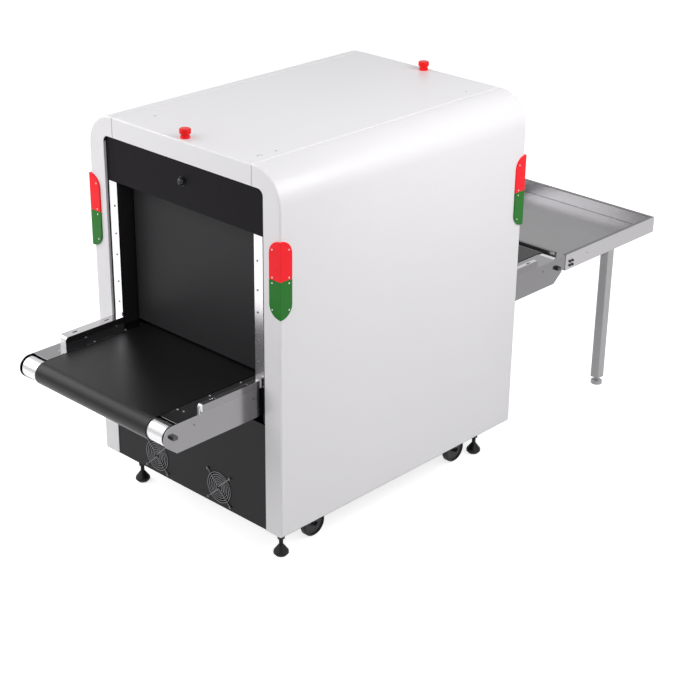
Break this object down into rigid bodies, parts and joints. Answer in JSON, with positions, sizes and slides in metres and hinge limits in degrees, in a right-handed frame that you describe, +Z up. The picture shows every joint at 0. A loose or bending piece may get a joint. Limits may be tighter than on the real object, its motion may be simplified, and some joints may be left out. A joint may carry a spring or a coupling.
{
  "type": "baggage x-ray scanner",
  "caption": "Walk-up baggage x-ray scanner: white sheet-metal cabinet with a curtained tunnel, a belt conveyor through it and a steel outfeed tray on legs.",
  "frame": {"origin": "on the floor, under the middle of the whole machine from the entry end of the belt to the outer edge of the tray", "axes": "+X along the belt from the entry to the exit and tray, +Y across the belt, +Z up"},
  "size_m": [2.5299, 0.885, 1.381],
  "materials": {
    "white_paint": "fine satin powder coat",
    "black_paint": "matt powder coat",
    "stainless": "brushed along the length",
    "black_plastic": "moulded, matt",
    "zinc": "zinc plated",
    "belt_rubber": "satin, finely textured",
    "lead_rubber": "dull",
    "dark_dome": "glossy",
    "red_lens": "glossy, slightly translucent",
    "green_lens": "glossy, slightly translucent",
    "stop_red": "satin moulded",
    "caster_tyre": "matt",
    "grey_paint": "grey powder coat"
  },
  "bodies": {
    "cabinet": {"near_side_shell": "white_paint", "far_side_shell": "white_paint", "top_cover": "white_paint", "floor_plate": "black_paint", "tunnel_hoods": "black_paint", "jamb_strips": "stainless", "tunnel_lining": "black_paint", "lower_panels": "black_paint", "fan_guards": "stainless", "fan_housings": "black_plastic", "near_conveyor_plate": "stainless", "far_conveyor_plate": "stainless", "conveyor_cross_tubes": "zinc", "slider_bed": "stainless", "conveyor_belt": "belt_rubber", "roller_axles": "zinc", "side_rails": "stainless", "curtain_rods": "zinc", "hood_domes": "dark_dome", "red_lenses": "red_lens", "green_lenses": "green_lens", "stop_collars": "stop_red", "levelling_feet": "black_plastic", "caster_mounts": "zinc", "outfeed_tray": "stainless", "tray_brackets": "stainless", "tray_legs": "grey_paint"},
    "entry_curtain": {"entry_curtain": "lead_rubber"},
    "exit_curtain": {"exit_curtain": "lead_rubber"},
    "entry_stop_button": {"entry_stop_button": "stop_red"},
    "exit_stop_button": {"exit_stop_button": "stop_red"},
    "entry_roller": {"entry_roller": "zinc"},
    "exit_roller": {"exit_roller": "zinc"},
    "entry_near_fan_rotor": {"entry_near_fan_rotor": "black_plastic"},
    "entry_far_fan_rotor": {"entry_far_fan_rotor": "black_plastic"},
    "exit_near_fan_rotor": {"exit_near_fan_rotor": "black_plastic"},
    "exit_far_fan_rotor": {"exit_far_fan_rotor": "black_plastic"},
    "entry_near_caster_fork": {"entry_near_caster_fork": "zinc"},
    "entry_near_caster_wheel": {"entry_near_caster_wheel": "caster_tyre"},
    "entry_far_caster_fork": {"entry_far_caster_fork": "zinc"},
    "entry_far_caster_wheel": {"entry_far_caster_wheel": "caster_tyre"},
    "exit_near_caster_fork": {"exit_near_caster_fork": "zinc"},
    "exit_near_caster_wheel": {"exit_near_caster_wheel": "caster_tyre"},
    "exit_far_caster_fork": {"exit_far_caster_fork": "zinc"},
    "exit_far_caster_wheel": {"exit_far_caster_wheel": "caster_tyre"}
  },
  "joints": [
    {"name": "entry_curtain_swing", "type": "hinge", "parent": "cabinet", "child": "entry_curtain", "pos_m": [-0.8, 0, 1.119], "axis": [0, -1, 0], "range_deg": [0, 75]},
    {"name": "exit_curtain_swing", "type": "hinge", "parent": "cabinet", "child": "exit_curtain", "pos_m": [0.21, 0, 1.119], "axis": [0, 1, 0], "range_deg": [0, 75]},
    {"name": "entry_stop_press", "type": "slide", "parent": "cabinet", "child": "entry_stop_button", "axis": [0, 0, -1], "range_m": [0, 0.004], "stiffness_N_per_m": 2000, "springref_m": -0.004},
    {"name": "exit_stop_press", "type": "slide", "parent": "cabinet", "child": "exit_stop_button", "axis": [0, 0, -1], "range_m": [0, 0.004], "stiffness_N_per_m": 2000, "springref_m": -0.004},
    {"name": "exit_roller_spin", "type": "hinge", "parent": "cabinet", "child": "exit_roller", "pos_m": [0.637, 0, 0.599], "axis": [0, 1, 0], "continuous": true},
    {"name": "entry_roller_spin", "type": "hinge", "parent": "cabinet", "child": "entry_roller", "pos_m": [-1.227, 0, 0.599], "axis": [0, 1, 0], "continuous": true},
    {"name": "entry_near_fan_spin", "type": "hinge", "parent": "cabinet", "child": "entry_near_fan_rotor", "pos_m": [-0.845, -0.145, 0.203], "axis": [1, 0, 0], "continuous": true},
    {"name": "entry_far_fan_spin", "type": "hinge", "parent": "cabinet", "child": "entry_far_fan_rotor", "pos_m": [-0.845, 0.163, 0.203], "axis": [1, 0, 0], "continuous": true},
    {"name": "exit_near_fan_spin", "type": "hinge", "parent": "cabinet", "child": "exit_near_fan_rotor", "pos_m": [0.255, -0.145, 0.203], "axis": [1, 0, 0], "continuous": true},
    {"name": "exit_far_fan_spin", "type": "hinge", "parent": "cabinet", "child": "exit_far_fan_rotor", "pos_m": [0.255, 0.163, 0.203], "axis": [1, 0, 0], "continuous": true},
    {"name": "entry_near_caster_swivel", "type": "hinge", "parent": "cabinet", "child": "entry_near_caster_fork", "pos_m": [-0.655, -0.3355, 0.1], "axis": [0, 0, 1], "continuous": true},
    {"name": "entry_near_caster_roll", "type": "hinge", "parent": "entry_near_caster_fork", "child": "entry_near_caster_wheel", "pos_m": [-0.629, -0.3355, 0.051], "axis": [0, 1, 0], "continuous": true},
    {"name": "entry_far_caster_swivel", "type": "hinge", "parent": "cabinet", "child": "entry_far_caster_fork", "pos_m": [-0.655, 0.3355, 0.1], "axis": [0, 0, 1], "continuous": true},
    {"name": "entry_far_caster_roll", "type": "hinge", "parent": "entry_far_caster_fork", "child": "entry_far_caster_wheel", "pos_m": [-0.629, 0.3355, 0.051], "axis": [0, 1, 0], "continuous": true},
    {"name": "exit_near_caster_swivel", "type": "hinge", "parent": "cabinet", "child": "exit_near_caster_fork", "pos_m": [0.065, -0.3355, 0.1], "axis": [0, 0, 1], "continuous": true},
    {"name": "exit_near_caster_roll", "type": "hinge", "parent": "exit_near_caster_fork", "child": "exit_near_caster_wheel", "pos_m": [0.091, -0.3355, 0.051], "axis": [0, 1, 0], "continuous": true},
    {"name": "exit_far_caster_swivel", "type": "hinge", "parent": "cabinet", "child": "exit_far_caster_fork", "pos_m": [0.065, 0.3355, 0.1], "axis": [0, 0, 1], "continuous": true},
    {"name": "exit_far_caster_roll", "type": "hinge", "parent": "exit_far_caster_fork", "child": "exit_far_caster_wheel", "pos_m": [0.091, 0.3355, 0.051], "axis": [0, 1, 0], "continuous": true}
  ],
  "couplings": [
    {"joint": "entry_roller_spin", "follows": "exit_roller_spin", "ratio": 1}
  ]
}
